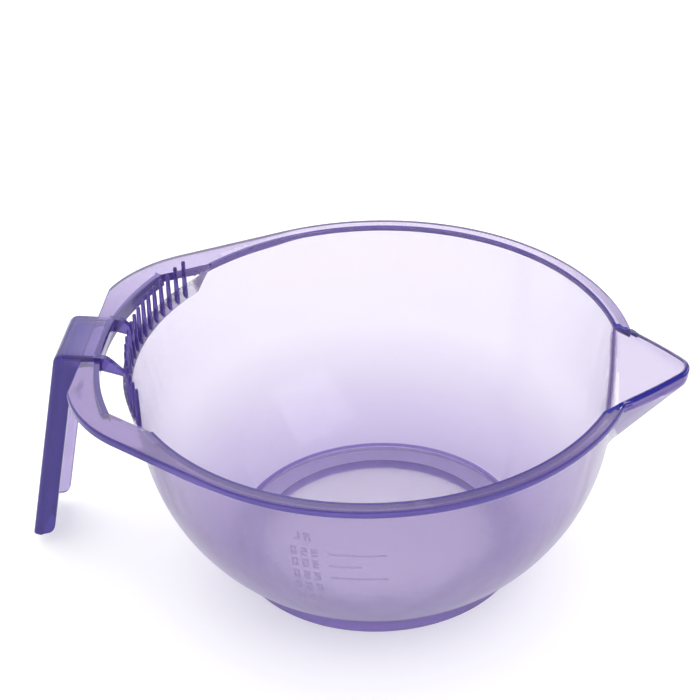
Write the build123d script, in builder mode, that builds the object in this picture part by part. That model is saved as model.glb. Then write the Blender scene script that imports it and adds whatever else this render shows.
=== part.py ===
from build123d import *
import os
from math import cos, pi, radians, sin, sqrt, tan

# Hair colour bowl: a round mixing bowl in one translucent moulding, with a pouring spout on one side,
# and on the other a window with a comb for wiping the brush and a channel-shaped hook handle.
# Millimetres. The origin is on the bowl's axis in the plane of its foot, +Z is up,
# +X points at the spout and the handle is on -X. Left is +Y.
# Every piece is one moulded zone, and neighbours meet face to face on a shared surface.

os.makedirs("parts", exist_ok=True)

# Bowl
rim_height = 62.0
rim_radius = 66.63          # outer face of the wall at the rim
wall = 1.6
wall_draft = 11.0           # lean of the straight upper wall, degrees from vertical
belly_height = 38.7         # where the straight wall turns into the round belly
belly_radius = 55.66
floor_bottom = 3.2
floor_top = 5.0
floor_radius = 36.5
foot_radius = 39.3
foot_top_radius = 38.9
foot_inner_radius = 32.5

# Rim flange and handle shelf
flange_radius = 69.2
flange_thickness = 1.8
shelf_thickness = 2.4
shelf_angle = 60.0          # where the shelf's straight sides leave the flange, degrees from -X
shelf_shoulder_x = 71.4
shelf_end_x = 76.9
shelf_end_y = 25.7
shoulder_round = 36.0
corner_round = 5.0

# Window and brush comb
window_radius = 72.1
window_corner_angle = 27.8
window_end_angle = 39.5
window_rib = 1.5            # width of the rib under the window's outer edge
window_rib_drop = 4.0       # its lower edge below the rim
notch_top_y = 40.6
notch_bottom_y = 33.9
notch_depth = 5.9
ledge_radius = 64.2         # a point of the sloping ledge that the comb stands on
ledge_drop = 5.3
ledge_slope = 0.9
tooth_count = 19
tooth_pitch = 3.19          # degrees
tooth_radius = 64.75
tooth_depth = 1.35
tooth_width = 1.2
tooth_rise = 6.3            # height of the tips above the rim
tooth_taper = 1.0
tooth_tip_round = 0.3

# Handle
handle_half_width = 10.3
handle_rise = 1.0
handle_thickness = 2.4
handle_side = 1.8
handle_join_x = 80.0        # where the top plate passes into the bent grip
handle_bend_x = 84.0
handle_foot_x = 95.4
handle_foot_z = 3.0
handle_depth = 5.7          # the channel's depth across the grip, outer face to free edge
handle_bend_round = 3.2
side_drop = 3.4             # how far the side plates hang below the shelf's inner edge
side_step_x = 76.6
brace_crest_x = 69.7        # the braces' top slopes down at 45 degrees from here to the wall
brace_drop = 2.8            # their lower edge below the rim at the window's outer side
brace_slope = 0.25

# Spout
spout_tip_x = 82.7
spout_nose = 6.6
spout_half_angle = 47.0     # of each side from the axis, where it meets the nose
spout_side_radius = 150.0   # the sides bulge a little
spout_lip_width = 1.5
spout_lip_thickness = 1.2
spout_lip_start_x = 62.0    # the lip's top leaves the rim's level here
spout_lip_step_x = 67.5     # and has climbed by the first step here
spout_lip_step = 1.0
spout_lip_rise = 1.8        # its whole climb, at the tip
spout_inset = 0.2           # the belly stands back by this much under the lip
spout_keel = 0.965          # run over drop of the keel
spout_depth = 24.0

# Graduation, raised on the inside of the wall and read from inside the bowl
scale_proud = 0.25
tick_height = 0.5
tick_start = -3.3           # degrees from -Y towards +X
long_tick_end = 10.5
short_tick_end = 4.6
numeral_angle = -9.0
numeral_height = 2.7
numeral_width = 1.5
numeral_pitch = 2.7
numeral_stroke = 0.45
numeral_levels = [100, 150, 200, 250, 300, 350]     # millilitres
ticked_levels = [(250, long_tick_end), (300, short_tick_end), (350, long_tick_end)]
unit_height = 49.0

slope = radians(wall_draft)
join_radius = rim_radius - (rim_height - belly_height) * tan(slope)
belly_r = join_radius - belly_radius * cos(slope)
belly_z = belly_height + belly_radius * sin(slope)


def radius_at(z, inset=0.0):
    """Radius at height z of the wall's outer face, moved inwards by inset."""
    arc = belly_radius - inset
    if z >= belly_z - arc * sin(slope):
        return rim_radius - (rim_height - z) * tan(slope) - inset / cos(slope)
    return belly_r + sqrt(arc**2 - (z - belly_z) ** 2)


def wall_joint(inset=0.0):
    """Point of the (radius, z) plane where the round belly passes into the straight wall."""
    arc = belly_radius - inset
    return (belly_r + arc * cos(slope), belly_z - arc * sin(slope))


def belly_curve(low, inset=0.0):
    """The belly's face from height low up to the joint, in the (radius, z) plane."""
    middle = (low + wall_joint(inset)[1]) / 2
    ThreePointArc((radius_at(low, inset), low), (radius_at(middle, inset), middle), wall_joint(inset))


def wall_curve(low, high, inset=0.0):
    """The belly's and the wall's face from height low to height high."""
    belly_curve(low, inset)
    Line(wall_joint(inset), (radius_at(high, inset), high))


def radial_plane(angle):
    """Upright plane through the axis; its x points outwards at that angle from +X, its y up."""
    a = radians(angle)
    return Plane(origin=(0, 0, 0), x_dir=(cos(a), sin(a), 0), z_dir=(sin(a), -cos(a), 0))


def ledge_z(radius):
    return rim_height - ledge_drop + ledge_slope * (radius - ledge_radius)


def level_of(millilitres, steps=400):
    """Height of the surface of that volume of liquid, from the bowl's inner face."""
    step = (rim_height - floor_top) / steps
    volume = 0.0
    for i in range(steps):
        z = floor_top + (i + 0.5) * step
        volume += pi * radius_at(z, wall) ** 2 * step / 1000
        if volume >= millilitres:
            return z + step / 2
    return rim_height


def spout_outline(inset):
    """Plan outline of the spout: a rounded nose between two bulging sides, open towards the bowl."""
    a = radians(spout_half_angle)
    centre = spout_tip_x - spout_nose
    bulge_x = centre - (spout_side_radius - spout_nose) * sin(a)
    bulge_y = -(spout_side_radius - spout_nose) * cos(a)

    def side(x):
        return (x, bulge_y + sqrt((spout_side_radius - inset) ** 2 - (x - bulge_x) ** 2))

    nose = spout_nose - inset
    tangent = (centre + nose * sin(a), nose * cos(a))
    ThreePointArc(side(50), side(66), tangent)
    ThreePointArc(tangent, (centre + nose, 0), (tangent[0], -tangent[1]))
    ThreePointArc((tangent[0], -tangent[1]), (66, -side(66)[1]), (50, -side(50)[1]))
    Line((50, -side(50)[1]), side(50))


# Solids that other pieces are trimmed with

lip_base = rim_height - flange_thickness
inner_radius = radius_at(rim_height, wall)


def above_lip(lift):
    """Corners, in the XZ plane, of everything above the lip's climbing top moved up by lift."""
    level = rim_height + lift
    return [
        (spout_lip_start_x - 15, level),
        (spout_lip_start_x, level),
        (spout_lip_step_x, level + spout_lip_step),
        (spout_tip_x, level + spout_lip_rise),
        (spout_tip_x + 5, level + spout_lip_rise),
        (spout_tip_x + 5, rim_height + 12),
        (spout_lip_start_x - 15, rim_height + 12),
    ]


with BuildPart() as above_lip_top:
    with BuildSketch(Plane.XZ):
        Polygon(*above_lip(0), align=None)
    extrude(amount=50, both=True)

with BuildPart() as above_lip_base:
    with BuildSketch(Plane.XZ):
        Polygon(*above_lip(-spout_lip_thickness), align=None)
    extrude(amount=50, both=True)

with BuildPart() as bowl_body:
    with BuildSketch(Plane.XZ):
        with BuildLine():
            wall_curve(floor_bottom, rim_height + 10)
            Polyline(
                (radius_at(rim_height + 10), rim_height + 10),
                (0, rim_height + 10),
                (0, floor_bottom),
                (radius_at(floor_bottom), floor_bottom),
            )
        make_face()
    revolve(axis=Axis.Z)

with BuildPart() as window_block:
    corner_x = window_radius * cos(radians(window_corner_angle))
    corner_y = window_radius * sin(radians(window_corner_angle))
    end_x = inner_radius * cos(radians(window_end_angle))
    end_y = inner_radius * sin(radians(window_end_angle))
    with BuildSketch(Plane.XY.offset(rim_height - 10)):
        with BuildLine():
            ThreePointArc((-corner_x, corner_y), (-window_radius, 0), (-corner_x, -corner_y))
            Polyline((-corner_x, -corner_y), (-end_x, -end_y), (-end_x, end_y), (-corner_x, corner_y))
        make_face()
    extrude(amount=20)

with BuildPart() as notch_block:
    with BuildSketch(Plane.XZ):
        Polygon(
            (inner_radius - 5, ledge_z(inner_radius - 5)),
            (rim_radius + 5, ledge_z(rim_radius + 5)),
            (rim_radius + 5, rim_height + 5),
            (inner_radius - 5, rim_height + 5),
            align=None,
        )
    revolve(axis=Axis.Z)
    lean = (notch_top_y - notch_bottom_y) / notch_depth
    with BuildSketch(Plane.YZ.offset(-100)):
        Polygon(
            (notch_bottom_y - 3 * lean, rim_height - notch_depth - 3),
            (notch_top_y + 5 * lean, rim_height + 5),
            (-notch_top_y - 5 * lean, rim_height + 5),
            (-notch_bottom_y + 3 * lean, rim_height - notch_depth - 3),
            align=None,
        )
    extrude(amount=60, mode=Mode.INTERSECT)

with BuildPart() as lip_block:
    with BuildSketch(Plane.XY.offset(lip_base)):
        with BuildLine():
            spout_outline(0)
        make_face()
    extrude(amount=10)

with BuildPart() as channel_block:
    with BuildSketch(Plane.XY.offset(lip_base)) as channel_mouth:
        with BuildLine():
            spout_outline(spout_lip_width)
        make_face()
    extrude(amount=10)
    extrude(
        channel_mouth.sketch,
        amount=(spout_depth - flange_thickness) * sqrt(1 + spout_keel**2),
        dir=(-spout_keel, 0, -1),
    )

# Bowl

with BuildPart() as bowl_floor:
    with BuildSketch(Plane.XY.offset(floor_bottom)):
        Circle(floor_radius)
    extrude(amount=floor_top - floor_bottom)

with BuildPart() as foot_ring:
    with BuildSketch(Plane.XZ):
        Polygon(
            (foot_inner_radius, 0),
            (foot_radius, 0),
            (foot_top_radius, floor_bottom),
            (foot_inner_radius, floor_bottom),
            align=None,
        )
    revolve(axis=Axis.Z)

with BuildPart() as bowl_belly:
    with BuildSketch(Plane.XZ):
        with BuildLine():
            belly_curve(floor_bottom)
            Line(wall_joint(), wall_joint(wall))
            belly_curve(floor_top, wall)
            Polyline(
                (radius_at(floor_top, wall), floor_top),
                (floor_radius, floor_top),
                (floor_radius, floor_bottom),
                (radius_at(floor_bottom), floor_bottom),
            )
        make_face()
    revolve(axis=Axis.Z)

with BuildPart() as bowl_wall:
    with BuildSketch(Plane.XZ):
        Polygon(
            wall_joint(),
            (rim_radius, rim_height),
            (inner_radius, rim_height),
            wall_joint(wall),
            align=None,
        )
    revolve(axis=Axis.Z)
    add(notch_block.part, mode=Mode.SUBTRACT)
    add(channel_block.part, mode=Mode.SUBTRACT)

# Rim flange, from the spout round to the shelf on each side

with BuildPart() as rim_flange_left:
    with BuildSketch(Plane.XZ):
        Polygon(
            (radius_at(lip_base), lip_base),
            (flange_radius, lip_base),
            (flange_radius, rim_height),
            (rim_radius, rim_height),
            align=None,
        )
    revolve(axis=Axis.Z, revolution_arc=180 - shelf_angle)
    add(lip_block.part, mode=Mode.SUBTRACT)

with BuildPart() as rim_flange_right:
    mirror(rim_flange_left.part, about=Plane.XZ)

# Handle shelf: the flange widened round the window, on each side of the handle

with BuildPart() as handle_shelf_left:
    leave_x = flange_radius * cos(radians(shelf_angle))
    leave_y = flange_radius * sin(radians(shelf_angle))
    shoulder_y = leave_y - (shelf_shoulder_x - leave_x) / tan(radians(shelf_angle))
    with BuildSketch(Plane.XY.offset(rim_height - shelf_thickness)) as shelf_plan:
        with BuildLine():
            FilletPolyline(
                (-leave_x, leave_y),
                (-shelf_shoulder_x, shoulder_y),
                (-shelf_end_x, shelf_end_y),
                (-shelf_end_x, handle_half_width),
                radius=[shoulder_round, corner_round],
            )
            Polyline(
                (-shelf_end_x, handle_half_width),
                (-handle_half_width / tan(radians(shelf_angle)), handle_half_width),
                (-leave_x, leave_y),
            )
        make_face()
    extrude(amount=shelf_thickness)
    add(bowl_body.part, mode=Mode.SUBTRACT)
    add(window_block.part, mode=Mode.SUBTRACT)

with BuildPart() as handle_shelf_right:
    mirror(handle_shelf_left.part, about=Plane.XZ)

# Handle: a channel open towards the bowl, bent down from the rim almost to the table

top_z = rim_height + handle_rise
run = handle_foot_x - handle_bend_x
drop = top_z - handle_foot_z
grip_length = sqrt(run**2 + drop**2)
inward = (drop / grip_length, -run / grip_length)


def grip_point(depth, z):
    """Point of the line that lies depth inside the grip's outer face, at height z."""
    x = -handle_bend_x + depth * inward[0]
    start_z = top_z + depth * inward[1]
    return (x - (start_z - z) * run / drop, z)


with BuildPart() as handle_top:
    with BuildSketch(Plane.XY.offset(top_z - handle_thickness)):
        with Locations((-handle_join_x / 2, 0)):
            Rectangle(handle_join_x, 2 * handle_half_width)
    extrude(amount=handle_thickness)
    add(bowl_body.part, mode=Mode.SUBTRACT)
    add(window_block.part, mode=Mode.SUBTRACT)

with BuildPart() as handle_grip:
    with BuildSketch(Plane.XZ):
        with BuildLine():
            FilletPolyline(
                (-handle_join_x, top_z),
                grip_point(0, top_z),
                grip_point(0, handle_foot_z),
                radius=handle_bend_round,
            )
            Line(grip_point(0, handle_foot_z), grip_point(handle_thickness, handle_foot_z))
            FilletPolyline(
                grip_point(handle_thickness, handle_foot_z),
                grip_point(handle_thickness, top_z - handle_thickness),
                (-handle_join_x, top_z - handle_thickness),
                radius=handle_bend_round - handle_thickness,
            )
            Line((-handle_join_x, top_z - handle_thickness), (-handle_join_x, top_z))
        make_face()
    extrude(amount=handle_half_width, both=True)
    ends = handle_grip.edges().filter_by(Axis.Y).group_by(Axis.Z)[0]
    fillet(ends, radius=handle_thickness / 2.5)

with BuildPart() as handle_side_left:
    strip_z = top_z - handle_thickness
    strip_x = window_radius - 3
    with BuildSketch(Plane.XZ.offset(-handle_half_width)):
        with BuildLine():
            Polyline(
                grip_point(handle_thickness, handle_foot_z + 1),
                grip_point(handle_thickness, strip_z - 1),
                (grip_point(handle_thickness, strip_z)[0] + 1, strip_z),
                (-strip_x, strip_z),
                (-strip_x, top_z - side_drop - handle_rise),
            )
            FilletPolyline(
                (-strip_x, top_z - side_drop - handle_rise),
                (-side_step_x, top_z - side_drop - handle_rise),
                grip_point(handle_depth, rim_height - 9),
                grip_point(handle_depth, handle_foot_z + 1),
                grip_point(handle_thickness, handle_foot_z + 1),
                radius=[4.0, 20.0, 2.8],
            )
        make_face()
    extrude(amount=handle_side)
    add(window_block.part, mode=Mode.SUBTRACT)

with BuildPart() as handle_side_right:
    mirror(handle_side_left.part, about=Plane.XZ)

# Rib under the window's outer edge: the middle part lies between the handle's side plates

with BuildPart() as rib_ring:
    with BuildSketch(Plane.XY.offset(rim_height - window_rib_drop)):
        with BuildLine():
            CenterArc((0, 0), window_radius, 180 - window_corner_angle, 2 * window_corner_angle)
            CenterArc((0, 0), window_radius + window_rib, 180 - window_corner_angle, 2 * window_corner_angle)
            for side in (-1, 1):
                a = radians(180 + side * window_corner_angle)
                Line(
                    (window_radius * cos(a), window_radius * sin(a)),
                    ((window_radius + window_rib) * cos(a), (window_radius + window_rib) * sin(a)),
                )
        make_face()
    extrude(amount=10)

with BuildPart() as window_rib_middle:
    add(rib_ring.part)
    with Locations((-window_radius, 0, top_z - handle_thickness)):
        Box(40, 2 * (handle_half_width - handle_side), 20, align=(Align.CENTER, Align.CENTER, Align.MAX),
            mode=Mode.INTERSECT)

with BuildPart() as window_rib_left:
    add(rib_ring.part)
    with Locations((-window_radius, handle_half_width, rim_height - shelf_thickness)):
        Box(60, 60, 20, align=(Align.CENTER, Align.MIN, Align.MAX), mode=Mode.INTERSECT)

with BuildPart() as window_rib_right:
    mirror(window_rib_left.part, about=Plane.XZ)

# Braces from the handle across the window to the bowl's wall, just outside the comb

with BuildPart() as brace_left:
    brace_end_x = rim_radius - 3
    with BuildSketch(Plane.XZ.offset(-handle_half_width)):
        Polygon(
            (-window_radius, top_z),
            (-brace_crest_x, top_z),
            (-brace_end_x, top_z - (brace_crest_x - brace_end_x)),
            (-brace_end_x, rim_height - brace_drop - brace_slope * (window_radius - brace_end_x)),
            (-window_radius, rim_height - brace_drop),
            align=None,
        )
    extrude(amount=handle_side)
    add(window_block.part, mode=Mode.INTERSECT)
    add(bowl_body.part, mode=Mode.SUBTRACT)

with BuildPart() as brace_right:
    mirror(brace_left.part, about=Plane.XZ)

# Spout

with BuildPart() as pour_spout:
    with BuildSketch(Plane.XY.offset(lip_base)) as spout_mouth:
        with BuildLine():
            spout_outline(spout_inset)
        make_face()
    extrude(amount=10)
    extrude(
        spout_mouth.sketch,
        amount=(spout_depth - flange_thickness) * sqrt(1 + spout_keel**2),
        dir=(-spout_keel, 0, -1),
    )
    add(above_lip_base.part, mode=Mode.SUBTRACT)
    add(channel_block.part, mode=Mode.SUBTRACT)
    add(bowl_body.part, mode=Mode.SUBTRACT)

with BuildPart() as spout_lip:
    add(lip_block.part)
    add(above_lip_base.part, mode=Mode.INTERSECT)
    add(above_lip_top.part, mode=Mode.SUBTRACT)
    add(channel_block.part, mode=Mode.SUBTRACT)
    add(bowl_body.part, mode=Mode.SUBTRACT)

# Brush comb: tapered teeth on the wall's sloping ledge

comb_teeth = []
for i in range(tooth_count):
    angle = 180 - (i - (tooth_count - 1) / 2) * tooth_pitch
    root_z = ledge_z(tooth_radius - tooth_depth)
    a = radians(angle)
    root = Plane(
        origin=(tooth_radius * cos(a), tooth_radius * sin(a), root_z),
        x_dir=(cos(a), sin(a), 0),
        z_dir=(0, 0, 1),
    )
    with BuildPart() as comb_tooth:
        with BuildSketch(root):
            Rectangle(tooth_depth, tooth_width)
        extrude(amount=rim_height + tooth_rise - root_z, taper=tooth_taper)
        fillet(comb_tooth.faces().sort_by(Axis.Z)[-1].edges(), radius=tooth_tip_round)
        with BuildSketch(radial_plane(angle)):
            Polygon(
                (tooth_radius - 3, ledge_z(tooth_radius - 3)),
                (tooth_radius + 3, ledge_z(tooth_radius + 3)),
                (tooth_radius + 3, root_z - 3),
                (tooth_radius - 3, root_z - 3),
                align=None,
            )
        extrude(amount=tooth_width, both=True, mode=Mode.SUBTRACT)
    comb_teeth.append(comb_tooth.part)

# Graduation on the inside of the wall, on the side that faces -Y


def bar(name):
    """Middle and size of one straight bar of a numeral."""
    w, h, s = numeral_width, numeral_height, numeral_stroke
    bars = {
        "top": (0, (h - s) / 2, w, s),
        "middle": (0, 0, w, s),
        "foot": (0, (s - h) / 2, w, s),
        "upper_left": ((s - w) / 2, h / 4, s, h / 2),
        "upper_right": ((w - s) / 2, h / 4, s, h / 2),
        "lower_left": ((s - w) / 2, -h / 4, s, h / 2),
        "lower_right": ((w - s) / 2, -h / 4, s, h / 2),
        "stem": (0, h / 4, s, h / 2),
    }
    return bars[name]


strokes = {
    "0": ["top", "foot", "upper_left", "upper_right", "lower_left", "lower_right"],
    "1": ["upper_right", "lower_right"],
    "2": ["top", "upper_right", "middle", "lower_left", "foot"],
    "3": ["top", "upper_right", "middle", "lower_right", "foot"],
    "5": ["top", "upper_left", "middle", "lower_right", "foot"],
    "M": ["top", "upper_left", "upper_right", "lower_left", "lower_right", "stem"],
    "L": ["upper_left", "lower_left", "foot"],
}

with BuildPart() as scale_ticks:
    for volume, tick_end in ticked_levels:
        low = level_of(volume) - tick_height / 2
        high = low + tick_height
        with BuildSketch(radial_plane(-90 + tick_start)):
            Polygon(
                (radius_at(low, wall), low),
                (radius_at(high, wall), high),
                (radius_at(high, wall + scale_proud), high),
                (radius_at(low, wall + scale_proud), low),
                align=None,
            )
        revolve(axis=Axis.Z, revolution_arc=tick_end - tick_start)

with BuildPart() as scale_skin:
    with BuildSketch(radial_plane(-90 - 18)):
        with BuildLine():
            wall_curve(12, 56, wall)
            Line((radius_at(56, wall), 56), (radius_at(56, wall + scale_proud), 56))
            wall_curve(12, 56, wall + scale_proud)
            Line((radius_at(12, wall), 12), (radius_at(12, wall + scale_proud), 12))
        make_face()
    revolve(axis=Axis.Z, revolution_arc=18)

with BuildPart() as scale_numerals:
    n = radians(-90 + numeral_angle)
    for height, text in [(level_of(v), str(v)) for v in numeral_levels] + [(unit_height, "ML")]:
        reader = Plane(
            origin=(20 * cos(n), 20 * sin(n), height),
            x_dir=(sin(n), -cos(n), 0),
            z_dir=(-cos(n), -sin(n), 0),
        )
        with BuildSketch(reader):
            for k, character in enumerate(text):
                middle = (k - (len(text) - 1) / 2) * numeral_pitch
                for x, y, width, height_of_bar in map(bar, strokes[character]):
                    with Locations((middle + x, y)):
                        Rectangle(width, height_of_bar)
        extrude(amount=-60)
    add(scale_skin.part, mode=Mode.INTERSECT)

pieces = {
    "bowl_wall": bowl_wall.part,
    "bowl_belly": bowl_belly.part,
    "bowl_floor": bowl_floor.part,
    "foot_ring": foot_ring.part,
    "rim_flange_left": rim_flange_left.part,
    "rim_flange_right": rim_flange_right.part,
    "handle_shelf_left": handle_shelf_left.part,
    "handle_shelf_right": handle_shelf_right.part,
    "handle_top": handle_top.part,
    "handle_grip": handle_grip.part,
    "handle_side_left": handle_side_left.part,
    "handle_side_right": handle_side_right.part,
    "window_rib_middle": window_rib_middle.part,
    "window_rib_left": window_rib_left.part,
    "window_rib_right": window_rib_right.part,
    "brace_left": brace_left.part,
    "brace_right": brace_right.part,
    "pour_spout": pour_spout.part,
    "spout_lip": spout_lip.part,
    "scale_ticks": scale_ticks.part,
    "scale_numerals": scale_numerals.part,
}
for i, tooth in enumerate(comb_teeth, start=1):
    pieces[f"comb_tooth_{i:02d}"] = tooth
for name, piece in pieces.items():
    piece.label = name
    export_step(piece, f"parts/{name}.step")
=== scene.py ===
from math import atan2, cos, degrees, hypot, pi, radians, sin, sqrt, tan

import bmesh
import bpy
import numpy as np
from mathutils import Matrix, Vector


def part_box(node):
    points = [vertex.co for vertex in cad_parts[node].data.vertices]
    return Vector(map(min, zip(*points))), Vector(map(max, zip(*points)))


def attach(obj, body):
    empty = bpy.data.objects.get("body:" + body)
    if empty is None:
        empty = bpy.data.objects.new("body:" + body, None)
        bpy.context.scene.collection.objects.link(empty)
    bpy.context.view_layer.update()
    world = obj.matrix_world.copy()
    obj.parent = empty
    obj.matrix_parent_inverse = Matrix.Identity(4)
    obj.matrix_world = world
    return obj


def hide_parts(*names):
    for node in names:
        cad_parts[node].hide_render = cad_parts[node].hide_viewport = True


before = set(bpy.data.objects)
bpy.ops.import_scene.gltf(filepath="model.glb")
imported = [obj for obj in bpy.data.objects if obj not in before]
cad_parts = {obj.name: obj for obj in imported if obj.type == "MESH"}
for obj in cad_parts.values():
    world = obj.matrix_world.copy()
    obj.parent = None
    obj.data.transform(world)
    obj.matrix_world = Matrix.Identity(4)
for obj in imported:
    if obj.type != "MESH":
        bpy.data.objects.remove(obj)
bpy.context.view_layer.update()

# A hair colour bowl in one clear violet moulding. Sizes are in millimetres and become metres when a
# mesh is made. The frame is the CAD's: the origin is on the bowl's axis at the table, +X points at the
# spout, -X at the handle, +Y is the left side.

MM = 0.001

# ---------------------------------------------------------------- driving dimensions


def low(node, axis):
    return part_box(node)[0][axis] / MM


def high(node, axis):
    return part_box(node)[1][axis] / MM


RIM_Z = high("bowl_wall", 2)
RIM_R = high("bowl_wall", 1)            # outer face of the wall at the rim
WALL = 1.6
DRAFT = tan(radians(11.0))              # lean of the straight upper wall
BELLY_Z = 38.7                          # the straight wall turns into the round belly here
BELLY_ARC = 55.66
FLOOR_TOP = high("bowl_floor", 2)
FLOOR_BOTTOM = low("bowl_floor", 2)
FOOT_R = high("foot_ring", 0)
FOOT_TOP_R = FOOT_R - 0.4
FOOT_INNER_R = 32.5

FLANGE_R = high("rim_flange_left", 1)
FLANGE_THICK = RIM_Z - low("rim_flange_left", 2)
SHELF_THICK = RIM_Z - low("handle_shelf_left", 2)
SHELF_ANGLE = 60.0                      # where the shelf's straight sides leave the flange, from -X
SHELF_SHOULDER_X = 71.4
SHELF_END_X = 76.9
SHELF_END_Y = 25.7
SHOULDER_ROUND = 36.0
CORNER_ROUND = 5.0

WINDOW_R = 72.1
WINDOW_CORNER = 27.8                    # degrees from -X
WINDOW_END = 39.5
RIB_WIDTH = 1.5                         # rib under the window's outer edge
RIB_DROP = 4.0                          # its lower edge below the rim
BRACE_CREST_X = 69.7                    # the braces' top slopes down from here to the wall
BRACE_DROP = 2.8
BRACE_SLOPE = 0.25
NOTCH_TOP_Y = 40.6
NOTCH_LEAN = (40.6 - 33.9) / 5.9        # sideways run over drop of the notch's sloping ends
LEDGE_R = 64.2
LEDGE_DROP = 5.3
LEDGE_SLOPE = 0.9

SPOUT_TIP_X = high("spout_lip", 0)
SPOUT_NOSE = 6.6
SPOUT_SIDE = radians(47.0)
SPOUT_BULGE = 150.0                     # radius of the spout's bulging sides
CREASE_IN = 0.7                         # how widely the wall and the spout run into each other
CREASE_OUT = 1.0
SPOUT_LIP_W = 1.5
SPOUT_INSET = 0.2
LIP_THICK = 1.2
LIP_BEVEL = 0.75                        # the lip's top slopes down outwards by this much
LIP_START_X = 62.0                      # the lip's top leaves the rim's level here
LIP_STEP_X = 67.5
LIP_STEP = 1.0
LIP_RISE = high("spout_lip", 2) - RIM_Z
SPOUT_KEEL = 0.965

slope = radians(11.0)
BELLY_R = RIM_R - (RIM_Z - BELLY_Z) * DRAFT - BELLY_ARC * cos(slope)
BELLY_MID = BELLY_Z + BELLY_ARC * sin(slope)

# ---------------------------------------------------------------- the bowl's shell


def smooth_step(t):
    t = min(max(t, 0), 1)
    return t * t * (3 - 2 * t)


def wall_r(z, inset=0.0):
    """Radius of the wall's outer face at height z, moved inwards by inset."""
    z = np.asarray(z, float)
    arc = BELLY_ARC - inset
    straight = RIM_R - (RIM_Z - z) * DRAFT - inset / cos(slope)
    belly = BELLY_R + np.sqrt(np.maximum(arc**2 - (z - BELLY_MID) ** 2, 0))
    return np.where(z >= BELLY_MID - arc * sin(slope), straight, belly)


def spout_r(angle, z, inset):
    """Distance from the axis, at that angle from +X, to the spout's outline at height z."""
    z = np.asarray(z, float)
    a = abs(angle)
    if a > pi / 3:
        return np.zeros_like(z)
    drop = np.maximum(RIM_Z - FLANGE_THICK - z, 0)
    nose = SPOUT_NOSE - inset
    centre = SPOUT_TIP_X - SPOUT_NOSE - SPOUT_KEEL * drop
    tip = centre * cos(a) + np.sqrt(np.maximum(nose**2 - (centre * sin(a)) ** 2, 0))
    bulge_x = centre - (SPOUT_BULGE - SPOUT_NOSE) * sin(SPOUT_SIDE)
    bulge_y = -(SPOUT_BULGE - SPOUT_NOSE) * cos(SPOUT_SIDE)
    along = bulge_x * cos(a) + bulge_y * sin(a)
    side = along + np.sqrt((SPOUT_BULGE - inset) ** 2 - bulge_x**2 - bulge_y**2 + along**2)
    touch = np.arctan2(nose * cos(SPOUT_SIDE), centre + nose * sin(SPOUT_SIDE))
    return np.where(a < touch, tip, side)


def run_together(a, b, width):
    """The larger of two radii, with the kink between them rounded."""
    near = np.maximum(width - np.abs(a - b), 0) / width
    return np.maximum(a, b) + near**2 * width / 4


def inner_r(angle, z):
    return run_together(wall_r(z, WALL), spout_r(angle, z, SPOUT_LIP_W), CREASE_IN)


def outer_r(angle, z):
    return run_together(wall_r(z), spout_r(angle, z, SPOUT_INSET), CREASE_OUT)


def lip_top(x):
    """Height of the lip's top at that x: a soft step, then a gentle climb to the tip."""
    step = LIP_STEP * smooth_step((x - LIP_START_X + 0.5) / (LIP_STEP_X - LIP_START_X + 1.5))
    return RIM_Z + step + (LIP_RISE - LIP_STEP) * max(0, x - LIP_STEP_X) / (SPOUT_TIP_X - LIP_STEP_X)


def crossing(angle, inset_wall, inset_spout):
    """Height at which the spout's surface leaves the wall's, found by halving."""
    lo, hi = FLOOR_TOP, RIM_Z
    if spout_r(angle, hi, inset_spout) <= wall_r(hi, inset_wall):
        return hi
    for _ in range(40):
        mid = (lo + hi) / 2
        if spout_r(angle, mid, inset_spout) > wall_r(mid, inset_wall):
            hi = mid
        else:
            lo = mid
    return hi


def ray_line(p, q, angle):
    """Distance along the ray at that angle from -X to the line through p and q (x counted along -X)."""
    (px, py), (qx, qy) = p, q
    dx, dy = qx - px, qy - py
    c, s = cos(angle), sin(angle)
    return (px * dy - py * dx) / (c * dy - s * dx)


def rounded_path(points, radii, step=0.4):
    """Points along a polyline in the plane whose inner corners are rounded by arcs."""
    out = [np.array(points[0], float)]
    for i in range(1, len(points) - 1):
        a, b, c = (np.array(points[j], float) for j in (i - 1, i, i + 1))
        u, v = (a - b) / np.linalg.norm(a - b), (c - b) / np.linalg.norm(c - b)
        half = np.arccos(np.clip(u @ v, -1, 1)) / 2
        reach = radii[i - 1] / tan(half)
        middle = b + (u + v) / np.linalg.norm(u + v) * radii[i - 1] / sin(half)
        start, end = b + u * reach - middle, b + v * reach - middle
        turn = np.arctan2(start[0] * end[1] - start[1] * end[0], start @ end)
        count = max(2, int(abs(turn) * radii[i - 1] / step) + 1)
        for k in range(count + 1):
            t = turn * k / count
            out.append(middle + np.array([start[0] * cos(t) - start[1] * sin(t),
                                          start[0] * sin(t) + start[1] * cos(t)]))
    out.append(np.array(points[-1], float))
    return np.array(out)


shelf_leave = np.array([cos(radians(SHELF_ANGLE)), sin(radians(SHELF_ANGLE))]) * FLANGE_R
shoulder_y = shelf_leave[1] - (SHELF_SHOULDER_X - shelf_leave[0]) / tan(radians(SHELF_ANGLE))
shelf_path = rounded_path(
    [shelf_leave, (SHELF_SHOULDER_X, shoulder_y), (SHELF_END_X, SHELF_END_Y), (SHELF_END_X, 0)],
    [SHOULDER_ROUND, CORNER_ROUND])
shelf_angles = np.arctan2(shelf_path[:, 1], shelf_path[:, 0])
shelf_radii = np.hypot(shelf_path[:, 0], shelf_path[:, 1])


def edge_r(back):
    """Outer radius of the flange or shelf at that angle from -X."""
    if back >= radians(SHELF_ANGLE):
        return FLANGE_R
    i = np.searchsorted(-shelf_angles, -back)
    i = min(max(i, 1), len(shelf_angles) - 1)
    return ray_line(shelf_path[i - 1], shelf_path[i], back)


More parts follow.
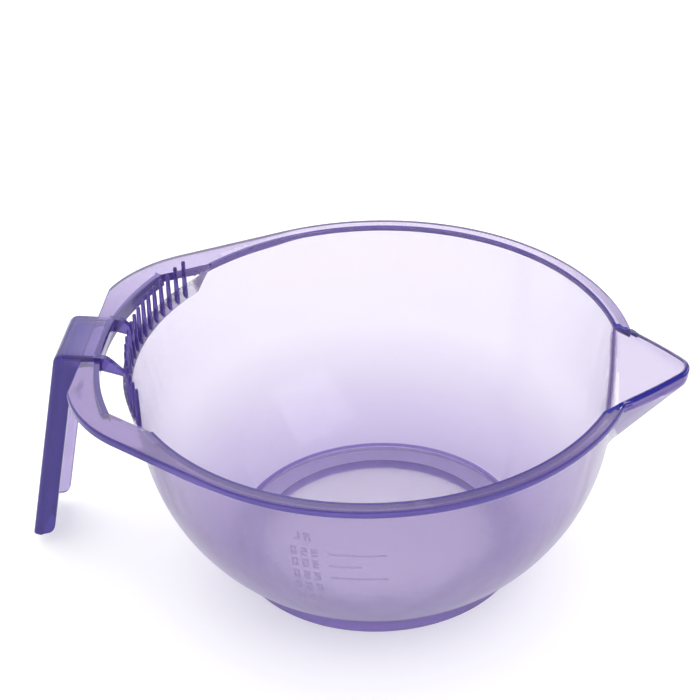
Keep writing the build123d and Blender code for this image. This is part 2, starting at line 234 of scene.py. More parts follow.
window_corner = np.array([cos(radians(WINDOW_CORNER)), sin(radians(WINDOW_CORNER))]) * WINDOW_R
window_end = np.array([cos(radians(WINDOW_END)), sin(radians(WINDOW_END))]) * wall_r(RIM_Z, WALL)


def window_r(back):
    """Radius of the window's outer side at that angle from -X."""
    if back <= radians(WINDOW_CORNER):
        return WINDOW_R
    return ray_line(window_corner, window_end, back)


def halve(f, lo, hi):
    """Where f changes sign between lo and hi."""
    rising = f(hi) > 0
    for _ in range(50):
        mid = (lo + hi) / 2
        if (f(mid) > 0) == rising:
            hi = mid
        else:
            lo = mid
    return (lo + hi) / 2


GAP_END = halve(lambda b: RIM_R - window_r(b), radians(WINDOW_CORNER), radians(WINDOW_END))
NOTCH_END = halve(lambda b: window_r(b) * sin(b) - NOTCH_TOP_Y, radians(WINDOW_CORNER), radians(WINDOW_END))


def notch_z(r, back):
    """Height of the wall's cut top at radius r and that angle from -X."""
    ledge = RIM_Z - LEDGE_DROP + LEDGE_SLOPE * (r - LEDGE_R)
    side = RIM_Z - (NOTCH_TOP_Y - abs(r * sin(back))) / NOTCH_LEAN
    return min(RIM_Z, max(ledge, side))


def soft_corner(a, b, c, size, count):
    """count points that round the corner b of the path a, b, c, starting size away from it."""
    a, b, c = np.array(a, float), np.array(b, float), np.array(c, float)
    u, v = a - b, c - b
    lu, lv = np.linalg.norm(u), np.linalg.norm(v)
    p = b + u / max(lu, 1e-9) * min(size, lu * 0.5)
    q = b + v / max(lv, 1e-9) * min(size, lv * 0.5)
    t = np.linspace(0, 1, count)[:, None]
    return (1 - t) ** 2 * p + 2 * t * (1 - t) * b + t**2 * q


WALL_ROWS = 44
SPOUT_ROWS = 18
GAP_ROWS = 5
STEP_ROWS = 4


def column(angle):
    """Section of the shell at that angle from +X, as named runs of (radius, height) points.

    in: from the floor's middle to the top of the inner wall
    top: across the wall's top to its outer corner T
    step: up from T to the window's upper edge (no height where there is no notch)
    edge: over the flange or shelf and back underneath
    gap_wall, gap_side: the two faces of the window, from the flange's underside up to T
    out: from the flange's underside down the outer wall and under the foot to the middle
    """
    back = pi - abs(angle)
    in_window = back < GAP_END + 1e-9
    in_notch = back < NOTCH_END

    # inner face
    z_cross = crossing(angle, WALL, SPOUT_LIP_W)
    if z_cross < RIM_Z:
        top_z = RIM_Z
        for _ in range(6):
            r = float(inner_r(angle, top_z))
            top_z = lip_top(r * cos(angle))
        top_in = (float(inner_r(angle, top_z)), top_z)
    elif in_notch:
        z = RIM_Z - 5
        for _ in range(12):
            z = notch_z(float(wall_r(z, WALL)), back)
        z_cross = z
        top_in = (float(wall_r(z, WALL)), z)
    else:
        top_in = (float(wall_r(RIM_Z, WALL)), RIM_Z)
    crease_r = float(wall_r(FLOOR_TOP, WALL))
    floor = [(r, FLOOR_TOP) for r in (8, 16, 24, 30, FOOT_INNER_R, 34.5, 36.5)]
    above = FLOOR_TOP + 1.2
    floor += list(soft_corner(floor[-1], (crease_r, FLOOR_TOP), (float(wall_r(above, WALL)), above), 1.1, 6))
    start = floor[-1][1]
    turn = np.linspace(0, 1, WALL_ROWS) ** 1.25
    z_wall = start + (z_cross - start) * turn[1:]
    wall = [(float(inner_r(angle, z)), z) for z in z_wall[:-1]]
    up = np.linspace(0, 1, SPOUT_ROWS) ** 1.6
    spout = [(float(inner_r(angle, z)), z) for z in (z_cross + (top_in[1] - z_cross) * up)[:-1]]
    inner = floor + wall + spout

    # flange, shelf or lip
    blend = smooth_step((radians(SHELF_ANGLE) + 0.09 - back) / 0.18)
    under_z = RIM_Z - (FLANGE_THICK + (SHELF_THICK - FLANGE_THICK) * blend)
    edge = edge_r(back)
    lip = float(spout_r(angle, RIM_Z, 0))
    top_out_z = RIM_Z
    if lip > edge:
        edge = lip
        top_out_z = lip_top(edge * cos(angle))
        under_z = max(under_z, top_out_z - LIP_THICK)
    z_out = crossing(angle, 0, SPOUT_INSET)
    z_out = min(z_out, under_z)
    foot_of_edge = float(outer_r(angle, under_z))

    # top of the wall
    if in_window:
        z = RIM_Z - 4
        for _ in range(12):
            z = notch_z(float(wall_r(z)), back)
        t_point = (float(wall_r(z)), z)
    elif in_notch:
        t_point = (window_r(back), notch_z(window_r(back), back))
    else:
        share = 0.2 + 0.15 * smooth_step(lip - FLANGE_R)
        t_point = (top_in[0] + (min(edge, max(lip, FLANGE_R)) - top_in[0]) * share, (top_in[1] + top_out_z) / 2)
    below_in = inner[-1]
    corner_in = soft_corner(below_in, top_in, t_point, 0.7 if lip > edge - 0.01 else 0.45, 5)
    corner_in[:, 0] = np.maximum(corner_in[:, 0], corner_in[0, 0])
    top = list(corner_in)

    lean = DRAFT * smooth_step((back - radians(WINDOW_CORNER)) / (GAP_END - radians(WINDOW_CORNER)))
    side_r = window_r(back) if in_notch else t_point[0]

    def window_side(z):
        return (side_r - (RIM_Z - z) * (lean if in_window else 0), z)

    upper = window_side(RIM_Z) if in_notch else t_point
    step = [window_side(z) if in_notch else t_point
            for z in np.linspace(t_point[1], upper[1], STEP_ROWS)[1:]]
    round_out = 0.8 if lip < FLANGE_R else 0.5
    lip_fall = LIP_BEVEL * smooth_step((lip - FLANGE_R) / 2) if lip > FLANGE_R else 0
    rim_top = (edge, top_out_z - lip_fall)
    rim_under = (edge - 0.05, under_z)
    near_side = RIB_WIDTH / (edge - side_r) if back < radians(WINDOW_CORNER) else 0.3
    run = [tuple(np.array(upper) + (np.array(rim_top) - np.array(upper)) * t) for t in (near_side, 0.65)]
    run += list(soft_corner(upper, rim_top, rim_under, round_out, 6))
    run += list(soft_corner(rim_top, rim_under, (foot_of_edge, under_z), 0.45, 5))
    back_r = window_side(under_z)[0] if in_window else foot_of_edge
    rib = smooth_step((radians(WINDOW_CORNER) - back) / 0.02)
    rib_z = under_z + (RIM_Z - RIB_DROP - under_z) * rib
    root_r = back_r + (RIB_WIDTH if rib > 0 else (edge - back_r) * 0.1)
    run += [(edge + (root_r - edge) * t, under_z) for t in (0.5, 0.85)]
    if rib > 0:
        run += list(soft_corner((edge, under_z), (root_r, under_z), (root_r, rib_z), 0.3, 3))
        run += list(soft_corner((root_r, under_z), (root_r, rib_z), (back_r, rib_z), 0.3, 4))
        run += [(back_r + 0.25, rib_z)]
    else:
        run += [(root_r + (back_r - root_r) * k / 9, under_z) for k in range(1, 9)]

    gap_wall = [(float(wall_r(z)), z) for z in np.linspace(under_z, t_point[1], GAP_ROWS)[:-1]]
    gap_side = [window_side(z) for z in np.linspace(rib_z, t_point[1], GAP_ROWS)]

    # outer face
    spout_out = [(float(outer_r(angle, z)), z) for z in np.linspace(under_z, z_out, SPOUT_ROWS)]
    foot_corner = float(wall_r(FLOOR_BOTTOM))
    turn = 1 - (1 - np.linspace(0, 1, WALL_ROWS)) ** 1.25
    z_wall = z_out + (FLOOR_BOTTOM + 0.25 - z_out) * turn[1:]
    outer = spout_out + [(float(outer_r(angle, z)), z) for z in z_wall]
    outer += [(foot_corner + 0.12, FLOOR_BOTTOM + 0.05)]
    outer += list(soft_corner((foot_corner, FLOOR_BOTTOM), (FOOT_TOP_R, FLOOR_BOTTOM), (FOOT_R, 0), 0.35, 4))
    outer += [(FOOT_TOP_R + 0.2, FLOOR_BOTTOM / 2)]
    outer += list(soft_corner((FOOT_TOP_R, FLOOR_BOTTOM), (FOOT_R, 0), (FOOT_INNER_R, 0), 0.45, 5))
    outer += [((FOOT_R + FOOT_INNER_R) / 2, 0)]
    outer += list(soft_corner((FOOT_R, 0), (FOOT_INNER_R, 0), (FOOT_INNER_R - 0.1, FLOOR_BOTTOM), 0.4, 4))
    outer += [(FOOT_INNER_R - 0.05, FLOOR_BOTTOM / 2)]
    outer += list(soft_corner((FOOT_INNER_R, 0), (FOOT_INNER_R - 0.1, FLOOR_BOTTOM),
                              (0, FLOOR_BOTTOM), 0.5, 4))
    outer += [(r, FLOOR_BOTTOM) for r in (28, 21, 14, 7)]
    return {"in": inner, "top": top, "t": [t_point], "step": step, "edge": run,
            "gap_wall": gap_wall, "gap_side": gap_side, "out": outer}


def angles_between(stops, steps):
    """Angles from the first stop to the last, each stretch divided evenly."""
    out = []
    for (a, b), step in zip(zip(stops, stops[1:]), steps):
        n = max(1, round((b - a) / step))
        out += [a + (b - a) * k / n for k in range(n)]
    return out + [stops[-1]]


def build_shell():
    """The bowl's wall, floor, foot, flange, shelf and spout as one closed mesh of quads."""
    d = radians
    leave = halve(lambda a: crossing(a, WALL, SPOUT_LIP_W) - RIM_Z + 1e-3, d(5), d(25))
    stops = [0, d(2.6), d(9), leave, leave + d(2), pi - d(SHELF_ANGLE), pi - NOTCH_END, pi - GAP_END,
             pi - d(WINDOW_CORNER), pi]
    half = angles_between(stops, [d(0.25), d(0.5), d(0.4), d(0.3), d(0.8), d(0.5), d(0.25), d(0.4), d(0.7)])
    angles = [-a for a in reversed(half[1:])] + half[:-1]
    columns = [column(a) for a in angles]
    verts, index = [], []
    for a, col in zip(angles, columns):
        rows = {}
        for name, points in col.items():
            rows[name] = list(range(len(verts), len(verts) + len(points)))
            verts += [(r * cos(a), r * sin(a), z) for r, z in points]
        index.append(rows)
    faces = []

    def strip(left, right):
        for i in range(len(left) - 1):
            faces.append((left[i], right[i], right[i + 1], left[i + 1]))

    pole_top = len(verts)
    verts += [(0, 0, FLOOR_TOP), (0, 0, FLOOR_BOTTOM)]
    pole_bottom = pole_top + 1
    edge_tolerance = 1e-6
    for k in range(len(angles)):
        j = (k + 1) % len(angles)
        p, q = index[k], index[j]
        mid = (angles[k] + (angles[j] if j else angles[0] + 2 * pi)) / 2
        open_gap = pi - abs(mid) < GAP_END - edge_tolerance
        if open_gap:
            lower = [c["in"] + c["top"] + c["t"] + c["gap_wall"][::-1] + c["out"][1:] for c in (p, q)]
            loop = [c["gap_side"] + c["step"] + c["edge"] + c["gap_side"][:1] for c in (p, q)]
            strip(*lower)
            strip(*loop)
        else:
            strip(*[c["in"] + c["top"] + c["t"] + c["step"] + c["edge"] + c["out"] for c in (p, q)])
        faces.append((pole_top, q["in"][0], p["in"][0]))
        faces.append((pole_bottom, p["out"][-1], q["out"][-1]))
    return new_mesh("bowl_shell", verts, faces)


def new_mesh(name, verts, faces, sharp=32.0, merge=0.004):
    """A smooth-shaded object from points in millimetres, with double points merged."""
    bm = bmesh.new()
    made = [bm.verts.new(Vector(v) * MM) for v in verts]
    for f in faces:
        bm.faces.new([made[i] for i in f])
    bmesh.ops.remove_doubles(bm, verts=bm.verts, dist=merge * MM)
    bmesh.ops.dissolve_degenerate(bm, dist=merge * MM, edges=bm.edges)
    bmesh.ops.recalc_face_normals(bm, faces=bm.faces)
    mesh = bpy.data.meshes.new(name)
    bm.to_mesh(mesh)
    bm.free()
    for polygon in mesh.polygons:
        polygon.use_smooth = True
    mesh.set_sharp_from_angle(angle=radians(sharp))
    piece = bpy.data.objects.new(name, mesh)
    bpy.context.scene.collection.objects.link(piece)
    return piece


shell = build_shell()

# ---------------------------------------------------------------- handle

HANDLE_TOP_Z = high("handle_top", 2)
HANDLE_HALF_W = high("handle_grip", 1)
HANDLE_THICK = HANDLE_TOP_Z - low("handle_top", 2)
HANDLE_BEND_X = 84.0
HANDLE_FOOT_X = -low("handle_grip", 0)
HANDLE_FOOT_Z = low("handle_grip", 2)
HANDLE_DEPTH = 5.7
BEND_ROUND = 3.2
SIDE_THICK = 1.8
SIDE_DROP = 4.4                         # free edge of the side plates below the handle's top
SIDE_STEP_X = 76.6

run = HANDLE_FOOT_X - HANDLE_BEND_X
drop = HANDLE_TOP_Z - HANDLE_FOOT_Z
grip_len = hypot(run, drop)
down = np.array([-run / grip_len, -drop / grip_len])        # along the grip, in (x, z)
inward = np.array([drop / grip_len, -run / grip_len])


def grip_line(depth, z):
    """Point of the line depth inside the grip's outer face, at height z."""
    p = np.array([-HANDLE_BEND_X, HANDLE_TOP_Z]) + inward * depth
    return p + down * (p[1] - z) / -down[1]


def resample(path, count):
    """count points evenly spaced along a polyline."""
    path = np.asarray(path, float)
    length = np.concatenate([[0], np.cumsum(np.linalg.norm(np.diff(path, axis=0), axis=1))])
    at = np.linspace(0, length[-1], count)
    return np.column_stack([np.interp(at, length, path[:, k]) for k in range(2)])


def build_handle():
    """Channel section swept from the window's edge over the bend and down the grip."""
    start_x = -(WINDOW_R - 0.12)
    outer = rounded_path([(start_x, HANDLE_TOP_Z), (-HANDLE_BEND_X, HANDLE_TOP_Z), grip_line(0, HANDLE_FOOT_Z)],
                         [BEND_ROUND], step=0.5)
    free_z = HANDLE_TOP_Z - SIDE_DROP
    free = rounded_path([(start_x, free_z), (-SIDE_STEP_X, free_z), grip_line(HANDLE_DEPTH, RIM_Z - 9),
                         grip_line(HANDLE_DEPTH, HANDLE_FOOT_Z), grip_line(HANDLE_THICK + 0.3, HANDLE_FOOT_Z)],
                        [4.0, 20.0, 2.9], step=0.4)
    # the two paths are matched at the bend: the plate's end, the bend's two ends, the foot
    bend_in = 1
    bend_out = len(outer) - 2
    free_in = int(np.argmin(np.hypot(*(free - np.array([-SIDE_STEP_X + 1.5, free_z])).T)))
    free_out = int(np.argmin(np.hypot(*(free - grip_line(HANDLE_DEPTH, RIM_Z - 9)).T)))
    stretches = [(outer[:bend_in + 1], free[:free_in + 1], 14),
                 (outer[bend_in:bend_out + 1], free[free_in:free_out + 1], 14),
                 (outer[bend_out:], free[free_out:], 60)]
    o_pts, f_pts = [], []
    for o, f, n in stretches:
        o_pts += list(resample(o, n)[:-1])
        f_pts += list(resample(f, n)[:-1])
    o_pts, f_pts = np.array(o_pts + [outer[-1]]), np.array(f_pts + [free[-1]])
    tangent = np.gradient(o_pts, axis=0)
    tangent /= np.linalg.norm(tangent, axis=1)[:, None]
    normal = np.column_stack([-tangent[:, 1], tangent[:, 0]])
    normal[normal @ np.array([1.0, -1.0]) < 0] *= -1
    web = o_pts + normal * HANDLE_THICK
    w, t = HANDLE_HALF_W, SIDE_THICK
    verts, rings = [], []
    for o, i, f, n in zip(o_pts, web, f_pts, normal):
        reach = np.linalg.norm(f - i)
        along = (f - i) / max(reach, 1e-6)
        half = [(0.0, o), (w * 0.45, o)]
        for c in soft_corner((0, 0), (w, 0), (w, 3), 1.3, 6):
            half.append((c[0], o + n * c[1]))
        half.append((w, i))
        half.append((w, i + along * reach * 0.5))
        tip = min(0.5, reach * 0.45)
        for c in soft_corner((w, -3), (w, 0), (w - t, 0), tip, 4):
            half.append((c[0], f + along * c[1]))
        for c in soft_corner((w, 0), (w - t, 0), (w - t, -3), tip, 4):
            half.append((c[0], f + along * c[1]))
        half.append((w - t, i + along * reach * 0.5))
        fillet = min(0.7, reach * 0.4)
        for c in soft_corner((w - t, 3), (w - t, 0), (0, 0), fillet, 4):
            half.append((c[0], i + along * c[1]))
        half += [(w * 0.4, i), (0.0, i)]
        ring = [(p[0], y, p[1]) for y, p in half]
        ring += [(p[0], -y, p[1]) for y, p in half[-2:0:-1]]
        rings.append(list(range(len(verts), len(verts) + len(ring))))
        verts += ring
    for v in rings[0]:
        x, y, z = verts[v]
        verts[v] = (-sqrt((WINDOW_R - 0.12) ** 2 - y**2), y, z)
    faces = []
    for a, b in zip(rings, rings[1:]):
        for k in range(len(a)):
            m = (k + 1) % len(a)
            faces.append((a[k], a[m], b[m], b[k]))
    faces += [tuple(rings[0]), tuple(reversed(rings[-1]))]
    return new_mesh("handle", verts, faces)


def build_brace(side):
    """Plate from the handle across the window to the bowl's wall, its top sloping down at 45 degrees."""
    y0, y1 = side * (HANDLE_HALF_W - SIDE_THICK + 0.04), side * (HANDLE_HALF_W - 0.04)
    verts, faces = [], []
    xs = [WINDOW_R + 1.0, BRACE_CREST_X + 1.2, *np.linspace(BRACE_CREST_X + 0.8, BRACE_CREST_X - 1.2, 7), 67, 64.5]
    for x in xs:
        past = BRACE_CREST_X - x
        top = HANDLE_TOP_Z - 0.03 - (past + sqrt(past**2 + 0.5)) / 2
        bottom = RIM_Z - BRACE_DROP - BRACE_SLOPE * (WINDOW_R - x)
        for y, z in ((y0, bottom), (y1, bottom), (y1, top), (y0, top)):
            verts.append((-x, y, z))
    for i in range(len(xs) - 1):
        for k in range(4):
            m = (k + 1) % 4
            faces.append((4 * i + k, 4 * i + m, 4 * i + 4 + m, 4 * i + 4 + k))
    faces += [(0, 1, 2, 3), tuple(4 * (len(xs) - 1) + k for k in (3, 2, 1, 0))]
    return new_mesh("brace", verts, faces)


def bevel(piece, width, segments, angle):
    m = piece.modifiers.new("bevel", "BEVEL")
    m.width = width * MM
    m.segments = segments
    m.limit_method = "ANGLE"
    m.angle_limit = radians(angle)
    m.use_clamp_overlap = True
    apply_modifiers(piece)


def apply_modifiers(piece):
    bpy.context.view_layer.update()
    done = bpy.data.meshes.new_from_object(piece.evaluated_get(bpy.context.evaluated_depsgraph_get()))
    piece.modifiers.clear()
    piece.data = done


def join_solid(piece, *others):
    """Unites closed meshes into one and removes the others."""
    for other in others:
        m = piece.modifiers.new("union", "BOOLEAN")
        m.operation = "UNION"
        m.solver = "MANIFOLD"
        m.object = other
        apply_modifiers(piece)
        bpy.data.objects.remove(other)


def describe(piece):
    bm = bmesh.new()
    bm.from_mesh(piece.data)
    print(piece.name, len(bm.verts), len(bm.faces), "open", sum(1 for e in bm.edges if not e.is_manifold),
          "volume", round(bm.calc_volume() / MM**3))
    bm.free()


describe(shell)
handle = build_handle()
bevel(handle, 0.5, 3, 50)
describe(handle)
join_solid(shell, handle, build_brace(1), build_brace(-1))
shell.data.set_sharp_from_angle(angle=radians(32))
describe(shell)

# ---------------------------------------------------------------- comb teeth

TOOTH_COUNT = sum(1 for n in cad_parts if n.startswith("comb_tooth_"))
TOOTH_PITCH = radians(3.19)
TOOTH_R = 64.75
TOOTH_DEPTH = 1.35
TOOTH_WIDTH = 1.2
TOOTH_TIP_Z = high("comb_tooth_10", 2)
TOOTH_TAPER = tan(radians(1.0))


def build_tooth(number):
    back = (number - 1 - (TOOTH_COUNT - 1) / 2) * TOOTH_PITCH
    name = f"comb_tooth_{number:02d}"
    foot_z = RIM_Z - LEDGE_DROP + LEDGE_SLOPE * (TOOTH_R - LEDGE_R)
    verts, rings = [], []
    levels = [(foot_z, 0.0), (foot_z + 0.5, 0.0)]
    levels += [(foot_z + (TOOTH_TIP_Z - 0.35 - foot_z) * t, 0.0) for t in (0.25, 0.5, 0.75, 1.0)]
    levels += [(TOOTH_TIP_Z - 0.35 * (1 - sin(t)), 0.35 * (1 - cos(t))) for t in (0.5, 0.95, 1.3)]
    around = [0.0, 0.35, 0.65, 1.0]
    for z, inset in levels:
        shrink = (z - foot_z) * TOOTH_TAPER + inset
        a, b = TOOTH_DEPTH / 2 - shrink, TOOTH_WIDTH / 2 - shrink
        ring = []
        for q in range(4):
            for t in np.linspace(0, 1, 5)[:-1]:
                u = (q + t) * pi / 2
                power = 0.5
                ring.append((TOOTH_R + a * np.sign(cos(u)) * abs(cos(u)) ** power,
                             b * np.sign(sin(u)) * abs(sin(u)) ** power))
        rings.append(list(range(len(verts), len(verts) + len(ring))))
        for r, s in ring:
            height = z
            if z == foot_z:
                height = RIM_Z - LEDGE_DROP + LEDGE_SLOPE * (r - LEDGE_R) - 0.02
            x, y = r * cos(back) - s * sin(back), r * sin(back) + s * cos(back)
            verts.append((-x, y, height))
    faces = []
    for p, q in zip(rings, rings[1:]):
        for k in range(len(p)):
            m = (k + 1) % len(p)
            faces.append((p[k], p[m], q[m], q[k]))
    faces += [tuple(rings[0]), tuple(reversed(rings[-1]))]
    piece = new_mesh(name + "_visual", verts, faces, sharp=50, merge=0.0005)
    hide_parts(name)
    return piece


teeth = [build_tooth(i) for i in range(1, TOOTH_COUNT + 1)]

# ---------------------------------------------------------------- material

CLEAR = (0.985, 0.98, 0.995, 1.0)       # tint of a surface, then how much of its light passes through


POLISHED = 0.08                         # roughness of the inside, the rim and the handle
FROSTED = 0.22                          # roughness of the bowl's outside


def blend(a, b, t):
    return tuple(p + (q - p) * t for p, q in zip(a, b))


def is_outside(p):
    """True on the outer faces of the wall, the belly and the spout, which are lightly frosted."""
    x, y, z = p
    r = hypot(x, y)
    if z < FLOOR_TOP - 0.3:
        return True
    if abs(r - wall_r(z)) < 0.25:
        return True
    return x > 40 and r > spout_r(np.arctan2(y, x), z, SPOUT_LIP_W / 2) and r > wall_r(z)


def zone_tint_and_shade(p, n):
    """Tint of the moulding at a point, with painted shade and light: the thick, edge-on zones are tinted deeper
    than the thin walls to paint the dark bands seen along them; the near side and the lower outer wall get painted
    shade, the far side painted light.
    """
    x, y, z = p
    r = hypot(x, y)
    # painted shade: the braces and the rib under the window's outer edge are tinted deep violet
    if abs(y) < HANDLE_HALF_W + 0.1 and x < -60 and z > 55 and RIM_R - 1.0 < r < WINDOW_R - 0.2:
        return BRACE_SHADE
    if abs(y) < HANDLE_HALF_W + 0.1 and x < -60 and z > 55 and WINDOW_R - 0.2 < r < WINDOW_R + RIB_WIDTH:
        return RIB_SHADE
    # painted shade on the handle and its top plate, with painted light on the far side plates (+Y)
    if abs(y) < HANDLE_HALF_W + 0.1 and x < -RIM_R:
        if z > HANDLE_TOP_Z - HANDLE_THICK - 1.2:
            return blend(PLATE_SHADE, HANDLE_SHADE, smooth_step((-x - 73.0) / 10.0))
        return HANDLE_FAR_LIT if y > 0 and abs(n[1]) > 0.5 else HANDLE_SHADE
    out = (n[0] * x + n[1] * y) / max(r, 1e-6)
    if x < -45 and z > 55 and n[2] > 0.3 and r < RIM_R + 0.1 and z < RIM_Z - 0.3:
        return CLEAR
    mouth = float(spout_r(np.arctan2(y, x), z, SPOUT_LIP_W))
    # painted shade in the crease where the wall runs into the spout
    if x > 40 and -0.1 < mouth - float(wall_r(z, WALL)) < 0.6 and r < mouth + 0.3 and z < RIM_Z - 0.6:
        return CREASE_SHADE
    # painted shade: the spout's lip band is near black; the spout's underside is deeper, more so on the near side
    if x > LIP_START_X - 1 and r > mouth - 1.5 and mouth > RIM_R - 3:
        if r < mouth + SPOUT_LIP_W + 0.3:
            if out > 0.1 and z > lip_top(x) - LIP_THICK - 0.25:
                return LIP_SHADE
            if n[2] > 0.4 and z > RIM_Z - 0.3 and x < LIP_STEP_X - 1:
                return LIP_SHADE
            if out < 0.3:
                return CLEAR
        if z < RIM_Z - FLANGE_THICK - 0.1 or r < mouth + SPOUT_LIP_W + 0.3:
            return blend(SPOUT_SHADE, SPOUT_NEAR_SHADE, smooth_step((4 - y) / 8))
    # painted shade: the near side (-Y) and the spout's end are blended to deeper tints
    front_shade = smooth_step((15 - y) / 70)
    flange = blend(FLANGE, FLANGE_NEAR_SHADE, max(front_shade, smooth_step((x - 35) / 50)))
    # painted shade on the outer edge of the flange and shelf, and a dark band where the rib shows through the
    # shelf; the shelf is deeper on the near side and lighter on the far side as painted light
    if z > RIM_Z - SHELF_THICK - 0.1 and r > RIM_R + 0.2:
        if out > 0.35:
            return EDGE_SHADE
        if x < -60 and (out < -0.5 or r < WINDOW_R + RIB_WIDTH and abs(y / x) < tan(radians(WINDOW_CORNER))):
            return RIB_SHADE
        return blend(flange, blend(SHELF_SHADE, SHELF_FAR_LIT, smooth_step(y / 45)), smooth_step((-x - 20) / 30))
    # painted shade on the rib's faces below the window's outer edge
    if r > WINDOW_R - 0.2 and x < -60 and z > RIM_Z - RIB_DROP - 0.5:
        return RIB_SHADE
    # painted shade: a dark band along the rim's inner edge
    if z > RIM_Z - 0.45 and RIM_R - 2.5 < r:
        return RIM_SHADE if r < RIM_R - 0.95 else flange
    # painted shade: a dark ring at the foot's inner edge, and the foot's sides deeper than its flat underside
    if z < FLOOR_BOTTOM + 0.2 and r > FOOT_INNER_R - 1:
        if r < FOOT_INNER_R + 0.3:
            return RING_SHADE
        return FOOT_FLAT if n[2] < -0.9 and z < 0.1 else FOOT_SHADE
    # painted shade: a dark ring in the corner between the floor and the wall
    if FLOOR_TOP + 0.02 < z < FLOOR_TOP + 0.35 and r < wall_r(z, WALL / 2):
        return RING_SHADE
    if z < FLOOR_TOP - 0.3 and r < FOOT_INNER_R:
        return UNDERSIDE
    # painted shade: the outer wall deepens towards the bottom and on the near side
    if is_outside(p):
        up = smooth_step((z - 3.0) / 32.0)
        return blend(blend(OUTSIDE_LOW_SHADE, OUTSIDE_TOP, up), blend(NEAR_LOW_SHADE, NEAR_TOP_SHADE, up), front_shade)
    return CLEAR


# Tint, then how much light passes through. Apart from CLEAR, UNDERSIDE and MARKS these colours paint light and
# shade: the deep ones paint shade and the dark bands along edges, the rim, the lip, the crease, the rings, the
# handle and the teeth, and on the near side and the lower wall; the *_FAR ones, FLANGE and OUTSIDE_TOP are the
# lighter ends of these painted gradients.
PLATE_SHADE = (0.26, 0.19, 0.49, 0.83)
HANDLE_SHADE = (0.11, 0.07, 0.43, 0.72)
HANDLE_FAR_LIT = (0.60, 0.53, 0.76, 0.92)
BRACE_SHADE = (0.20, 0.14, 0.53, 0.7)
RIB_SHADE = (0.11, 0.07, 0.33, 0.5)
LIP_SHADE = (0.008, 0.006, 0.27, 0.1)
CREASE_SHADE = (0.30, 0.22, 0.55, 0.6)
EDGE_SHADE = (0.09, 0.06, 0.32, 0.25)
FLANGE = (0.84, 0.77, 0.90, 0.93)
FLANGE_NEAR_SHADE = (0.22, 0.15, 0.42, 0.82)
SHELF_SHADE = (0.36, 0.28, 0.52, 0.86)
SHELF_FAR_LIT = (0.64, 0.57, 0.76, 0.9)
RIM_SHADE = (0.06, 0.035, 0.27, 0.3)
FOOT_SHADE = (0.62, 0.53, 0.81, 0.82)
FOOT_FLAT = (0.84, 0.78, 0.92, 0.9)
RING_SHADE = (0.20, 0.13, 0.50, 0.8)
UNDERSIDE = (0.93, 0.89, 0.95, 0.97)
MARKS = (0.80, 0.74, 0.90, 0.9)
TOOTH_SHADE = (0.20, 0.14, 0.52, 0.7)
OUTSIDE_TOP = (0.87, 0.84, 0.88, 0.95)
OUTSIDE_LOW_SHADE = (0.52, 0.43, 0.72, 0.85)
NEAR_TOP_SHADE = (0.62, 0.53, 0.73, 0.92)
NEAR_LOW_SHADE = (0.17, 0.11, 0.42, 0.45)
SPOUT_SHADE = (0.60, 0.52, 0.72, 0.88)
SPOUT_NEAR_SHADE = (0.16, 0.10, 0.38, 0.8)


def paint(piece, tint_and_shade_at, frost_at=None):
    """Stores a tint, with painted shade and light, and a frosting per face corner, from the face's middle and
    normal.
    """
    mesh = piece.data
    tints_and_shades = np.empty((len(mesh.loops), 4), np.float32)
    frosts = np.full(len(mesh.loops), POLISHED, np.float32)
    for polygon in mesh.polygons:
        middle = polygon.center / MM
        span = slice(polygon.loop_start, polygon.loop_start + polygon.loop_total)
        tints_and_shades[span] = tint_and_shade_at(middle, polygon.normal)
        if frost_at and frost_at(middle):
            frosts[span] = FROSTED
    mesh.color_attributes.new("tint_and_shade", "FLOAT_COLOR", "CORNER").data.foreach_set("color", tints_and_shades.ravel())
    mesh.attributes.new("frost", "FLOAT", "CORNER").data.foreach_set("value", frosts)


